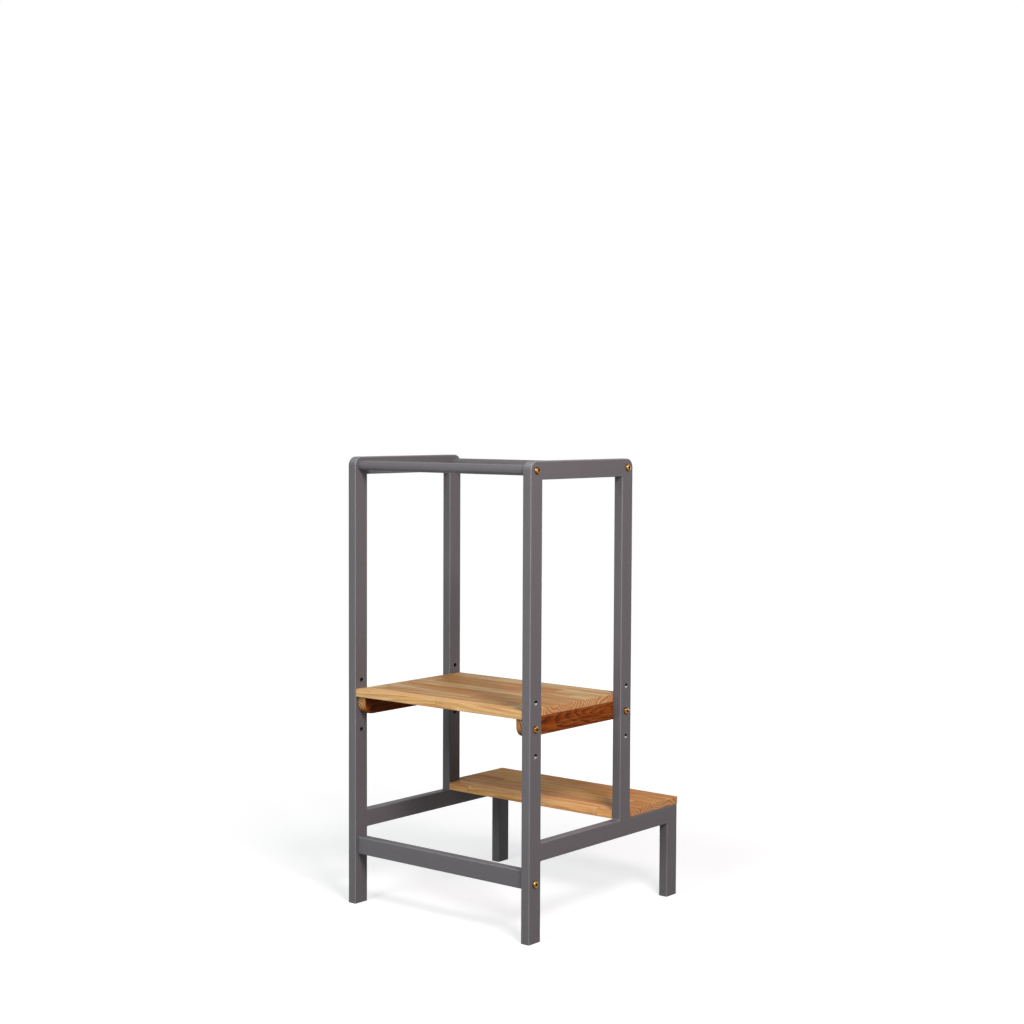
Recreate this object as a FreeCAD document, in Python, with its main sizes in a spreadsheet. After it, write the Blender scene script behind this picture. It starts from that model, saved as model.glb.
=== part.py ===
import FreeCAD, Part
import os
import Sketcher

# Kitchen helper stool for a toddler: two painted side frames, two round bars and a low board that tie
# them together, a height-adjustable oiled platform on two cleats, and an oiled step behind.
# Frame: +X to the right, -Y the front that faces the worktop, +Y the step, +Z up; the origin is on the
# floor under the middle of the whole footprint. Millimetres.

doc = FreeCAD.newDocument("kitchen_helper_stool")
sizes = doc.addObject("Spreadsheet::Sheet", "sizes")

DRIVING = [
    ("overall_height", 900, "floor to the top of the side frames"),
    ("overall_width", 468, "outer face to outer face of the side frames"),
    ("frame_depth", 320, "front of the front posts to the back of the rear posts"),
    ("step_reach", 165, "back of the rear posts to the back of the step legs"),
    ("stock_width", 35, "width of the frame stock, seen from the side"),
    ("stock_thickness", 20, "thickness of the frame stock"),
    ("lower_rail_top", 187, "floor to the top of the lower rails"),
    ("corner_radius", 18, "round outer corners at the top of a side frame"),
    ("inner_radius", 1.5, "round inner corners, where paint and sanding fill them"),
    ("foot_bevel", 0.8, "bevel round the underside of a foot"),
    ("edge_round", 2.5, "round-over along every edge of a side frame"),
    ("bar_diameter", 20, "round bars at the top"),
    ("board_bottom", 101, "floor to the underside of the front board"),
    ("board_height", 35, "height of the front board"),
    ("board_thickness", 20, "thickness of the front board"),
    ("board_bolt_height", 11, "board underside to its bolt"),
    ("board_dowel_height", 25, "board underside to its dowel"),
    ("platform_top", 436, "floor to the standing surface, middle setting"),
    ("panel_thickness", 16, "thickness of the glued panels"),
    ("panel_round", 1.5, "eased edges of the panels, the cleats and the board"),
    ("platform_front_recess", 2, "platform's front edge behind the posts' front"),
    ("platform_rear_recess", 4, "platform's back edge before the posts' back"),
    ("panel_gap", 0.4, "gap between a panel's edge and a post"),
    ("cleat_height", 35, "height of a platform cleat"),
    ("cleat_thickness", 20, "thickness of a platform cleat"),
    ("cleat_recess", 8, "cleat's ends inside the posts' outer faces"),
    ("cleat_nose", 20, "radius of a cleat's lower corners"),
    ("row_pitch", 50, "distance between the rows of platform holes"),
    ("bolt_diameter", 8, "shank of a furniture bolt"),
    ("bolt_clearance", 0.25, "radial room of a bolt in its hole"),
    ("thread_clearance", 0.05, "radial room of a bolt in its insert"),
    ("head_diameter", 14, "button head"),
    ("head_height", 4.4, "button head"),
    ("head_rim", 0.8, "straight rim below the dome of the head"),
    ("socket_across_corners", 5.8, "hexagon socket"),
    ("socket_depth", 2.6, "hexagon socket"),
    ("bar_bolt_length", 50, "shank of the bolts into the bars and the board"),
    ("platform_bolt_length", 35, "shank of the bolts into the cleats"),
    ("bolt_end_room", 2, "depth of a hole past the end of its bolt"),
    ("insert_diameter", 12, "threaded insert in the end of a bar, a board or a cleat"),
    ("insert_length", 14, "threaded insert"),
    ("dowel_diameter", 8, "frame dowel"),
    ("dowel_length", 28, "frame dowel, half of it in each piece"),
    ("dowel_pitch", 18, "distance between the two dowels of a joint"),
    ("dowel_end_room", 0.6, "depth of a dowel hole past the end of its dowel"),
    ("glue_gap", 0.05, "radial room for glue round a dowel, an insert or a screw"),
    ("point_chamfer", 1, "bevel at the ends of dowels and bolts"),
    ("screw_diameter", 4, "shank of a panel screw"),
    ("screw_head", 8, "head of a panel screw"),
    ("screw_head_height", 2.6, "cone under the head of a panel screw"),
    ("screw_length", 35, "panel screw, head to point"),
    ("screw_point", 6, "tapered point of a panel screw"),
    ("screw_pocket", 12, "depth of the pocket that hides a screw's head"),
    ("screw_pocket_diameter", 10, "pocket that hides a screw's head"),
    ("cleat_screw_edge", 60, "end of a cleat to its first screw"),
    ("step_screw_edge", 35, "rear post or step leg to the nearest step screw"),
]
for row, (alias, number, note) in enumerate(DRIVING, start=1):
    sizes.set(f"A{row}", note)
    sizes.set(f"B{row}", str(number))
    sizes.setAlias(f"B{row}", alias)
doc.recompute()


def size(alias):
    """Plain number of one cell."""
    return float(sizes.get(alias))


# Places that several pieces share, as expressions over the sheet.
FRONT = "(-(sizes.frame_depth + sizes.step_reach) / 2)"
OUTER = "(sizes.overall_width / 2)"
INNER = "(sizes.overall_width / 2 - sizes.stock_thickness)"
CLEAR_WIDTH = "(sizes.overall_width - 2 * sizes.stock_thickness)"
FULL_DEPTH = "(sizes.frame_depth + sizes.step_reach)"
HALF_STOCK = "sizes.stock_width / 2"
REAR_POST = "(sizes.frame_depth - sizes.stock_width)"
STEP_LEG = "(sizes.frame_depth + sizes.step_reach - sizes.stock_width)"
LOWER_RAIL_BOTTOM = "(sizes.lower_rail_top - sizes.stock_width)"
TOP_RAIL_BOTTOM = "(sizes.overall_height - sizes.stock_width)"
BAR_HEIGHT = f"({TOP_RAIL_BOTTOM} + {HALF_STOCK})"
CLEAT_TOP = "(sizes.platform_top - sizes.panel_thickness)"
PLATFORM_ROW = f"({CLEAT_TOP} - sizes.cleat_height / 2)"
BOARD_FRONT = f"({HALF_STOCK} - sizes.board_thickness / 2)"
BOLT_HOLE = "sizes.bolt_diameter / 2 + sizes.bolt_clearance"
INSERT_HOLE = "sizes.insert_diameter / 2 + sizes.glue_gap"
DOWEL_HOLE = "sizes.dowel_diameter / 2 + sizes.glue_gap"
DOWEL_DEPTH = "(sizes.dowel_length / 2 + sizes.dowel_end_room)"
POST_MIDDLES = {"front": f"({HALF_STOCK})", "rear": f"({REAR_POST} + {HALF_STOCK})"}

SIDES = {"left": -1, "right": 1}
TO_X = FreeCAD.Rotation(FreeCAD.Vector(0, 1, 0), 90)
TO_MINUS_X = FreeCAD.Rotation(FreeCAD.Vector(0, 1, 0), -90)
TO_Y = FreeCAD.Rotation(FreeCAD.Vector(1, 0, 0), -90)
TO_Z = FreeCAD.Rotation()
TURNED = FreeCAD.Rotation(FreeCAD.Vector(0, 0, 1), 180)
POINT_UP = FreeCAD.Rotation(FreeCAD.Vector(0, 1, 0), -90)

pieces = []


def place(thing, x, y, z, rotation=TO_Z):
    """Put a thing at a place given by three expressions."""
    thing.Placement = FreeCAD.Placement(FreeCAD.Vector(), rotation)
    for axis, expression in zip("xyz", (x, y, z)):
        thing.setExpression(f"Placement.Base.{axis}", expression)
    return thing


def keep(thing, label):
    """Name a finished piece; its label names its file."""
    thing.Label = label
    pieces.append(thing)
    return thing


def new_body(name):
    return doc.addObject("PartDesign::Body", name)


def new_sketch(body, role, name):
    """Sketch on one of the body's own origin planes."""
    sketch = body.newObject("Sketcher::SketchObject", name)
    plane = next(feature for feature in body.Origin.OriginFeatures if feature.Role == role)
    sketch.AttachmentSupport = [(plane, "")]
    sketch.MapMode = "FlatFace"
    return sketch


def draw(sketch, corners):
    """Closed outline through corners, each held by its two distances from the sketch's axes."""
    places = [tuple(float(sketch.evalExpression(text)) for text in corner) for corner in corners]
    first = sketch.GeometryCount
    count = len(corners)
    for index in range(count):
        start = FreeCAD.Vector(*places[index], 0)
        end = FreeCAD.Vector(*places[(index + 1) % count], 0)
        sketch.addGeometry(Part.LineSegment(start, end))
    for index in range(count):
        line = first + index
        sketch.addConstraint(Sketcher.Constraint("Coincident", line, 2, first + (index + 1) % count, 1))
        for kind, axis, expression, number in zip(("DistanceX", "DistanceY"), (-2, -1),
                                                  corners[index], places[index]):
            if expression == "0":
                sketch.addConstraint(Sketcher.Constraint("PointOnObject", line, 1, axis))
            else:
                held = sketch.addConstraint(Sketcher.Constraint(kind, -1, 1, line, 1, number))
                sketch.setExpression(f"Constraints[{held}]", expression)


def pad(body, sketch, length):
    """Solid of a sketch, as long as the expression says."""
    feature = body.newObject("PartDesign::Pad", sketch.Name + "_pad")
    feature.Profile = sketch
    feature.setExpression("Length", length)
    body.Tip = feature
    doc.recompute()
    return feature


def turn(body, sketch):
    """Solid of a sketch turned once round the sketch's own X axis."""
    feature = body.newObject("PartDesign::Revolution", sketch.Name + "_turned")
    feature.Profile = sketch
    feature.ReferenceAxis = (sketch, ["H_Axis"])
    feature.Angle = 360
    body.Tip = feature
    doc.recompute()
    return feature


def round_over(body, feature, radius, chosen):
    """Fillet of every edge that the chosen test names."""
    names = [f"Edge{number}" for number, edge in enumerate(feature.Shape.Edges, start=1) if chosen(edge)]
    rounded = body.newObject("PartDesign::Fillet", feature.Name + "_round")
    rounded.Base = (feature, names)
    rounded.setExpression("Radius", radius)
    body.Tip = rounded
    doc.recompute()
    return rounded


def bevel(body, feature, width, chosen):
    """Chamfer of every edge that the chosen test names."""
    names = [f"Edge{number}" for number, edge in enumerate(feature.Shape.Edges, start=1) if chosen(edge)]
    bevelled = body.newObject("PartDesign::Chamfer", feature.Name + "_bevel")
    bevelled.Base = (feature, names)
    bevelled.setExpression("Size", width)
    body.Tip = bevelled
    doc.recompute()
    return bevelled


def crosswise_at(*places):
    """Test for edges along X at any of the given (y, z) places."""
    def chosen(edge):
        box = edge.BoundBox
        if box.YLength > 1e-4 or box.ZLength > 1e-4:
            return False
        return any(abs(box.YMin - y) < 1e-3 and abs(box.ZMin - z) < 1e-3 for y, z in places)
    return chosen


def on_the_floor(edge):
    """Test for edges round the underside of a foot."""
    return edge.BoundBox.ZMax < 1e-4


def flat_in_x(edge):
    """Test for edges that lie in one plane across X, the outline of a piece cut from a board."""
    return edge.BoundBox.XLength < 1e-4


def along_x(edge):
    """Test for edges that run along X."""
    return edge.BoundBox.XLength > 1e-4 and edge.BoundBox.YLength < 1e-4 and edge.BoundBox.ZLength < 1e-4


def level(edge):
    """Test for edges that lie level, round the top and the underside of a panel."""
    return edge.BoundBox.ZLength < 1e-4


def box(name, lengths, x, y, z):
    """Block given by three lengths and its lowest corner."""
    block = doc.addObject("Part::Box", name)
    for side, expression in zip(("Length", "Width", "Height"), lengths):
        block.setExpression(side, expression)
    return place(block, x, y, z)


def drill(name, radius, depth, x, y, z, rotation):
    """Round tool that starts at a place and runs the way the rotation turns +Z."""
    tool = doc.addObject("Part::Cylinder", name)
    tool.setExpression("Radius", radius)
    tool.setExpression("Height", depth)
    return place(tool, x, y, z, rotation)


def bored(label, blank, drills):
    """Piece made of a blank with round holes drilled in it."""
    tools = doc.addObject("Part::Compound", label + "_drills")
    tools.Links = drills
    piece = doc.addObject("Part::Cut", label + "_bored")
    piece.Base = blank
    piece.Tool = tools
    return keep(piece, label)


def group(label, master, seats):
    """Like pieces in one node: each seat is (x, y, z, rotation) for one copy of the master."""
    copies = []
    for number, seat in enumerate(seats, start=1):
        copy = doc.addObject("App::Link", f"{label}_{number}")
        copy.LinkedObject = master
        copies.append(place(copy, *seat))
    together = doc.addObject("Part::Compound", label + "_set")
    together.Links = copies
    return keep(together, label)


# --- Side frame -------------------------------------------------------------------------------------
# Five sticks are dowelled and glued up, then the whole frame is rounded over on the router, so the
# round-over runs through every joint. The blank is that finished frame in one piece; the sticks are
# cut from it along the glue lines.

def frame_blank(side):
    body = new_body(f"{side}_frame_blank")
    sketch = new_sketch(body, "YZ_Plane", f"{side}_frame_outline")
    draw(sketch, [
        ("0", "0"),
        ("sizes.stock_width", "0"),
        ("sizes.stock_width", LOWER_RAIL_BOTTOM),
        (STEP_LEG, LOWER_RAIL_BOTTOM),
        (STEP_LEG, "0"),
        (FULL_DEPTH, "0"),
        (FULL_DEPTH, "sizes.lower_rail_top"),
        ("sizes.frame_depth", "sizes.lower_rail_top"),
        ("sizes.frame_depth", "sizes.overall_height"),
        ("0", "sizes.overall_height"),
    ])
    draw(sketch, [
        ("sizes.stock_width", "sizes.lower_rail_top"),
        (REAR_POST, "sizes.lower_rail_top"),
        (REAR_POST, TOP_RAIL_BOTTOM),
        ("sizes.stock_width", TOP_RAIL_BOTTOM),
    ])
    solid = pad(body, sketch, "sizes.stock_thickness")
    width = size("stock_width")
    depth = size("frame_depth")
    full = depth + size("step_reach")
    height = size("overall_height")
    rail = size("lower_rail_top")
    solid = round_over(body, solid, "sizes.corner_radius", crosswise_at((0, height), (depth, height)))
    solid = round_over(body, solid, "sizes.inner_radius", crosswise_at(
        (width, rail), (depth - width, rail), (depth - width, height - width), (width, height - width),
        (width, rail - width), (full - width, rail - width)))
    solid = round_over(body, solid, "sizes.edge_round",
                       lambda edge: flat_in_x(edge) and not on_the_floor(edge))
    bevel(body, solid, "sizes.foot_bevel", on_the_floor)
    sign = "-" if side == "left" else ""
    corner = OUTER if side == "left" else INNER
    return place(body, f"{sign}{corner}", FRONT, "0")


def stick(name, blank, near_x, low_y, low_z, long_y, long_z):
    """The part of the blank between two glue lines."""
    region = box(f"{name}_region", ("sizes.stock_thickness", long_y, long_z),
                 near_x, f"{FRONT} + {low_y}", low_z)
    part = doc.addObject("Part::Common", f"{name}_stick")
    part.Base = blank
    part.Tool = region
    return part


def frame_dowels(side):
    """Seats of the dowels of one frame: two in each of its five joints."""
    middle = f"({'-' if side == 'left' else ''}({OUTER} - sizes.stock_thickness / 2))"
    start = "sizes.dowel_length / 2"
    seats = []
    for step in ("+", "-"):
        offset = f"{step} sizes.dowel_pitch / 2"
        for face, height in (("sizes.stock_width", BAR_HEIGHT), (REAR_POST, BAR_HEIGHT),
                             ("sizes.stock_width", f"({LOWER_RAIL_BOTTOM} + {HALF_STOCK})")):
            seats.append((middle, f"{FRONT} + {face} - {start}", f"{height} {offset}", TO_Y))
        for face, height in ((f"({REAR_POST} + {HALF_STOCK})", "sizes.lower_rail_top"),
                             (f"({STEP_LEG} + {HALF_STOCK})", LOWER_RAIL_BOTTOM)):
            seats.append((middle, f"{FRONT} + {face} {offset}", f"{height} - {start}", TO_Z))
    return seats


def dowel_drills(side, seats):
    """One drill per dowel, a little longer than the dowel at both ends."""
    drills = []
    for number, (x, y, z, rotation) in enumerate(seats, start=1):
        back = "- sizes.dowel_end_room"
        along_y = rotation is TO_Y
        drills.append(drill(f"{side}_dowel_drill_{number}", DOWEL_HOLE, f"2 * {DOWEL_DEPTH}", x,
                            f"{y} {back}" if along_y else y, z if along_y else f"{z} {back}", rotation))
    return drills


def side_bores(side):
    """Holes right through the posts: bar bolts, three platform rows and, in front, the board bolt."""
    near = f"-{OUTER}" if side == "left" else INNER
    bores = {}
    for post, middle in POST_MIDDLES.items():
        heights = {"bar": BAR_HEIGHT}
        for row, step in (("low", "- sizes.row_pitch"), ("middle", ""), ("high", "+ sizes.row_pitch")):
            heights[row] = f"({PLATFORM_ROW} {step})"
        if post == "front":
            heights["board"] = "(sizes.board_bottom + sizes.board_bolt_height)"
        bores[post] = [drill(f"{side}_{post}_{name}_bore", BOLT_HOLE, "sizes.stock_thickness",
                             near, f"{FRONT} + {middle}", height, TO_X)
                       for name, height in heights.items()]
    return bores


def step_screw_places():
    """Distances from the frame's front to the two step screws on each side."""
    return ("(sizes.frame_depth + sizes.step_screw_edge)", f"({STEP_LEG} - sizes.step_screw_edge)")


def side_frame(side):
    blank = frame_blank(side)
    near = f"-{OUTER}" if side == "left" else INNER
    middle = f"({'-' if side == 'left' else ''}({OUTER} - sizes.stock_thickness / 2))"
    seats = frame_dowels(side)
    dowels = dowel_drills(side, seats)
    bores = side_bores(side)
    post_height = "sizes.overall_height"
    front_post = stick(f"{side}_front_post", blank, near, "0", "0", "sizes.stock_width", post_height)
    rear_post = stick(f"{side}_rear_post", blank, near, REAR_POST, "sizes.lower_rail_top",
                      "sizes.stock_width", f"{post_height} - sizes.lower_rail_top")
    step_leg = stick(f"{side}_step_leg", blank, near, STEP_LEG, "0",
                     "sizes.stock_width", LOWER_RAIL_BOTTOM)
    top_rail = stick(f"{side}_top_rail", blank, near, "sizes.stock_width",
                     f"{TOP_RAIL_BOTTOM} - sizes.inner_radius",
                     f"{REAR_POST} - sizes.stock_width", "sizes.stock_width + sizes.inner_radius")
    lower_rail = stick(f"{side}_lower_rail", blank, near, "sizes.stock_width",
                       f"{LOWER_RAIL_BOTTOM} - sizes.inner_radius",
                       f"{FULL_DEPTH} - sizes.stock_width", "sizes.stock_width + 2 * sizes.inner_radius")
    neighbours = doc.addObject("Part::Compound", f"{side}_lower_rail_neighbours")
    neighbours.Links = [rear_post, step_leg]
    trimmed = doc.addObject("Part::Cut", f"{side}_lower_rail_trimmed")
    trimmed.Base = lower_rail
    trimmed.Tool = neighbours
    bored(f"{side}_front_post", front_post, bores["front"] + dowels + [board_dowel_drills[side]])
    bored(f"{side}_rear_post", rear_post, bores["rear"] + dowels)
    bored(f"{side}_step_leg", step_leg, dowels)
    bored(f"{side}_top_rail", top_rail, dowels)
    screws = []
    for number, along in enumerate(step_screw_places(), start=1):
        y = f"{FRONT} + {along}"
        screws += screw_drills(f"{side}_step_screw_{number}", middle, y, LOWER_RAIL_BOTTOM)
    bored(f"{side}_lower_rail", trimmed, dowels + screws)
    group(f"{side}_frame_dowels", dowel, seats)


# --- Fasteners --------------------------------------------------------------------------------------

def turned_body(name, corners):
    """Small part turned from a half profile: distances along the axis and out from it."""
    body = new_body(name)
    sketch = new_sketch(body, "XY_Plane", name + "_profile")
    draw(sketch, corners)
    turn(body, sketch)
    return body


def furniture_bolt(name, length):
    """Button-head bolt with a hexagon socket; its point is at the origin and its head towards +X."""
    radius = "sizes.bolt_diameter / 2"
    bevelled = f"({radius} - sizes.point_chamfer)"
    rim = "sizes.head_diameter / 2"
    top = f"({length} + sizes.head_height)"
    body = turned_body(name, [("0", "0"), ("0", bevelled), ("sizes.point_chamfer", radius),
                              (length, radius), (length, rim), (top, rim), (top, "0")])
    tip_x = float(sizes.get(length.split(".")[1])) + size("head_height")
    round_over(body, body.Tip, "sizes.head_height - sizes.head_rim",
               lambda edge: abs(edge.BoundBox.XMin - tip_x) < 1e-3 and edge.BoundBox.XLength < 1e-4)
    socket = doc.addObject("Part::Prism", name + "_socket")
    socket.Polygon = 6
    socket.setExpression("Circumradius", "sizes.socket_across_corners / 2")
    socket.setExpression("Height", "sizes.socket_depth")
    place(socket, f"{top} - sizes.socket_depth", "0", "0", TO_X)
    bolt = doc.addObject("Part::Cut", name + "_cut")
    bolt.Base = body
    bolt.Tool = socket
    return bolt


DOWEL_RADIUS = "sizes.dowel_diameter / 2"
DOWEL_TIP = f"({DOWEL_RADIUS} - sizes.point_chamfer)"
dowel = doc.addObject("Part::Chamfer", "dowel")
dowel_rod = doc.addObject("Part::Cylinder", "dowel_rod")
dowel_rod.setExpression("Radius", DOWEL_RADIUS)
dowel_rod.setExpression("Height", "sizes.dowel_length")
doc.recompute()
dowel.Base = dowel_rod
dowel.Edges = [(number, size("point_chamfer"), size("point_chamfer"))
               for number, edge in enumerate(dowel_rod.Shape.Edges, start=1)
               if edge.BoundBox.ZLength < 1e-4]

insert = turned_body("insert", [
    ("0", "sizes.bolt_diameter / 2 + sizes.thread_clearance"), ("0", "sizes.insert_diameter / 2"),
    ("sizes.insert_length", "sizes.insert_diameter / 2"),
    ("sizes.insert_length", "sizes.bolt_diameter / 2 + sizes.thread_clearance")])
screw = turned_body("screw", [
    ("0", "0"), ("0", "sizes.screw_head / 2"), ("sizes.screw_head_height", "sizes.screw_diameter / 2"),
    ("sizes.screw_length - sizes.screw_point", "sizes.screw_diameter / 2"), ("sizes.screw_length", "0")])
bar_bolt = furniture_bolt("bar_bolt", "sizes.bar_bolt_length")
platform_bolt = furniture_bolt("platform_bolt", "sizes.platform_bolt_length")


def screw_drills(name, x, y, underside):
    """Pocket for the head, then the hole for the shank, up from an underside."""
    pocket = drill(f"{name}_pocket", "sizes.screw_pocket_diameter / 2", "sizes.screw_pocket",
                   x, y, underside, TO_Z)
    sink = doc.addObject("Part::Cone", f"{name}_sink")
    sink.setExpression("Radius1", "sizes.screw_head / 2 + sizes.glue_gap")
    sink.setExpression("Radius2", "sizes.screw_diameter / 2 + sizes.glue_gap")
    sink.setExpression("Height", "sizes.screw_head_height")
    place(sink, x, y, f"{underside} + sizes.screw_pocket")
    shank = drill(f"{name}_shank", "sizes.screw_diameter / 2 + sizes.glue_gap", "sizes.screw_length",
                  x, y, f"{underside} + sizes.screw_pocket", TO_Z)
    return [pocket, sink, shank]


def bolt_seats(length, places):
    """Bolts on both sides at the given (y, z) places, heads against the outer faces."""
    seats = []
    for y, z in places:
        seats.append((f"{OUTER} - {length}", y, z, TO_Z))
        seats.append((f"-({OUTER} - {length})", y, z, TURNED))
    return seats


def insert_seats(places):
    """Inserts on both sides, flush with the inner faces of the side frames."""
    seats = []
    for y, z in places:
        seats.append((f"{INNER} - sizes.insert_length", y, z, TO_Z))
        seats.append((f"-({INNER} - sizes.insert_length)", y, z, TURNED))
    return seats


def bolt_drills(name, length, y, z):
    """Insert hole and bolt hole into both ends of a piece that lies between the side frames."""
    reach = f"({length} - sizes.stock_thickness + sizes.bolt_end_room)"
    drills = []
    for side, rotation in (("left", TO_X), ("right", TO_MINUS_X)):
        x = f"-{INNER}" if side == "left" else INNER
        drills.append(drill(f"{name}_{side}_insert_bore", INSERT_HOLE, "sizes.insert_length",
                            x, y, z, rotation))
        drills.append(drill(f"{name}_{side}_bolt_bore", BOLT_HOLE, reach, x, y, z, rotation))
    return drills


def board_dowel_drill(side):
    """Blind hole half in the front post and half in the board."""
    sign = "-" if side == "left" else ""
    x = f"{sign}{INNER} - {DOWEL_DEPTH}"
    return drill(f"{side}_board_dowel_drill", DOWEL_HOLE, f"2 * {DOWEL_DEPTH}", x, BOARD_MIDDLE,
                 BOARD_DOWEL_Z, TO_X)


BOARD_MIDDLE = f"({FRONT} + {HALF_STOCK})"
BOARD_DOWEL_Z = "(sizes.board_bottom + sizes.board_dowel_height)"
BOARD_BOLT_Z = "(sizes.board_bottom + sizes.board_bolt_height)"
board_dowel_drills = {side: board_dowel_drill(side) for side in SIDES}

for side in SIDES:
    side_frame(side)

# --- Round bars -------------------------------------------------------------------------------------
# Each is a turned rod as long as the clear width, with a threaded insert in both ends.

bar_places = []
for post, middle in POST_MIDDLES.items():
    y = f"{FRONT} + {middle}"
    bar_places.append((y, BAR_HEIGHT))
    rod = drill(f"{post}_bar_rod", "sizes.bar_diameter / 2", CLEAR_WIDTH, f"-{INNER}", y, BAR_HEIGHT, TO_X)
    bored(f"{post}_bar", rod, bolt_drills(f"{post}_bar", "sizes.bar_bolt_length", y, BAR_HEIGHT))
group("bar_bolts", bar_bolt, bolt_seats("sizes.bar_bolt_length", bar_places))
group("bar_inserts", insert, insert_seats(bar_places))

# --- Front board ------------------------------------------------------------------------------------
# A short board low between the front posts, held at each end by one bolt and kept from turning by a
# dowel above it.

board_body = new_body("front_board_body")
board_sketch = new_sketch(board_body, "YZ_Plane", "front_board_section")
draw(board_sketch, [("0", "0"), ("sizes.board_thickness", "0"),
                    ("sizes.board_thickness", "sizes.board_height"), ("0", "sizes.board_height")])
board_pad = pad(board_body, board_sketch, CLEAR_WIDTH)
round_over(board_body, board_pad, "sizes.edge_round", along_x)
place(board_body, f"-{INNER}", f"{FRONT} + {BOARD_FRONT}", "sizes.board_bottom")
board_drills = bolt_drills("front_board", "sizes.bar_bolt_length", BOARD_MIDDLE, BOARD_BOLT_Z)
board_dowels = []
for side in SIDES:
    sign = "-" if side == "left" else ""
    board_drills.append(board_dowel_drills[side])
    board_dowels.append((f"{sign}{INNER} - sizes.dowel_length / 2", BOARD_MIDDLE, BOARD_DOWEL_Z, TO_X))
bored("front_board", board_body, board_drills)
group("board_dowels", dowel, board_dowels)
group("board_bolts", bar_bolt, bolt_seats("sizes.bar_bolt_length", [(BOARD_MIDDLE, BOARD_BOLT_Z)]))
group("board_inserts", insert, insert_seats([(BOARD_MIDDLE, BOARD_BOLT_Z)]))

# --- Platform ---------------------------------------------------------------------------------------
# An edge-glued panel screwed down on two cleats; four bolts through the posts hold the cleats, and
# the rows of holes above and below give two more heights.

CLEAT_LENGTH = "(sizes.frame_depth - 2 * sizes.cleat_recess)"
CLEAT_BOTTOM = f"({CLEAT_TOP} - sizes.cleat_height)"
PLATFORM_DEPTH = "(sizes.frame_depth - sizes.platform_front_recess - sizes.platform_rear_recess)"
PLATFORM_WIDTH = f"({CLEAR_WIDTH} - 2 * sizes.panel_gap)"
platform_places = [(f"{FRONT} + {middle}", PLATFORM_ROW) for middle in POST_MIDDLES.values()]
cleat_screw_places = [f"({FRONT} + sizes.cleat_recess + sizes.cleat_screw_edge)",
                      f"({FRONT} + sizes.frame_depth / 2)",
                      f"({FRONT} + sizes.frame_depth - sizes.cleat_recess - sizes.cleat_screw_edge)"]
platform_drills = []
platform_screws = []
for side, sign in SIDES.items():
    cleat_body = new_body(f"{side}_cleat_body")
    cleat_sketch = new_sketch(cleat_body, "YZ_Plane", f"{side}_cleat_outline")
    draw(cleat_sketch, [("0", "0"), (CLEAT_LENGTH, "0"), (CLEAT_LENGTH, "sizes.cleat_height"),
                        ("0", "sizes.cleat_height")])
    cleat_pad = pad(cleat_body, cleat_sketch, "sizes.cleat_thickness")
    cleat_length = size("frame_depth") - 2 * size("cleat_recess")
    cleat_nosed = round_over(cleat_body, cleat_pad, "sizes.cleat_nose",
                             crosswise_at((0, 0), (cleat_length, 0)))
    round_over(cleat_body, cleat_nosed, "sizes.panel_round", flat_in_x)
    corner = f"-{INNER}" if side == "left" else f"{INNER} - sizes.cleat_thickness"
    place(cleat_body, corner, f"{FRONT} + sizes.cleat_recess", CLEAT_BOTTOM)
    cleat_middle = f"({'-' if side == 'left' else ''}({INNER} - sizes.cleat_thickness / 2))"
    drills = []
    for number, (y, z) in enumerate(platform_places, start=1):
        both = bolt_drills(f"{side}_cleat_{number}", "sizes.platform_bolt_length", y, z)
        drills += both[:2] if side == "left" else both[2:]
    for number, y in enumerate(cleat_screw_places, start=1):
        holes = screw_drills(f"{side}_cleat_screw_{number}", cleat_middle, y, CLEAT_BOTTOM)
        drills += holes
        platform_drills.append(holes[-1])
        platform_screws.append((cleat_middle, y, f"{CLEAT_BOTTOM} + sizes.screw_pocket", POINT_UP))
    bored(f"{side}_cleat", cleat_body, drills)

platform_body = new_body("platform_body")
platform_sketch = new_sketch(platform_body, "XY_Plane", "platform_outline")
draw(platform_sketch, [("0", "0"), (PLATFORM_WIDTH, "0"), (PLATFORM_WIDTH, PLATFORM_DEPTH),
                       ("0", PLATFORM_DEPTH)])
platform_pad = pad(platform_body, platform_sketch, "sizes.panel_thickness")
round_over(platform_body, platform_pad, "sizes.panel_round", level)
place(platform_body, f"-{PLATFORM_WIDTH} / 2", f"{FRONT} + sizes.platform_front_recess", CLEAT_TOP)
bored("platform_panel", platform_body, platform_drills)
group("platform_bolts", platform_bolt, bolt_seats("sizes.platform_bolt_length", platform_places))
group("cleat_inserts", insert, insert_seats(platform_places))

# --- Step -------------------------------------------------------------------------------------------
# An edge-glued panel that lies on the lower rails behind the rear posts and reaches between them with
# a tongue; screws from below the rails hold it.

STEP_DEPTH = "(sizes.step_reach + sizes.stock_width)"
NOTCH_WIDTH = "(sizes.stock_thickness + sizes.panel_gap)"
NOTCH_DEPTH = "(sizes.stock_width + sizes.panel_gap)"
step_body = new_body("step_body")
step_sketch = new_sketch(step_body, "XY_Plane", "step_outline")
draw(step_sketch, [
    (NOTCH_WIDTH, "0"),
    (f"sizes.overall_width - {NOTCH_WIDTH}", "0"),
    (f"sizes.overall_width - {NOTCH_WIDTH}", NOTCH_DEPTH),
    ("sizes.overall_width", NOTCH_DEPTH),
    ("sizes.overall_width", STEP_DEPTH),
    ("0", STEP_DEPTH),
    ("0", NOTCH_DEPTH),
    (NOTCH_WIDTH, NOTCH_DEPTH),
])
step_pad = pad(step_body, step_sketch, "sizes.panel_thickness")
round_over(step_body, step_pad, "sizes.panel_round", level)
place(step_body, f"-{OUTER}", f"{FRONT} + {REAR_POST}", "sizes.lower_rail_top")
step_drills = []
step_screws = []
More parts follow.
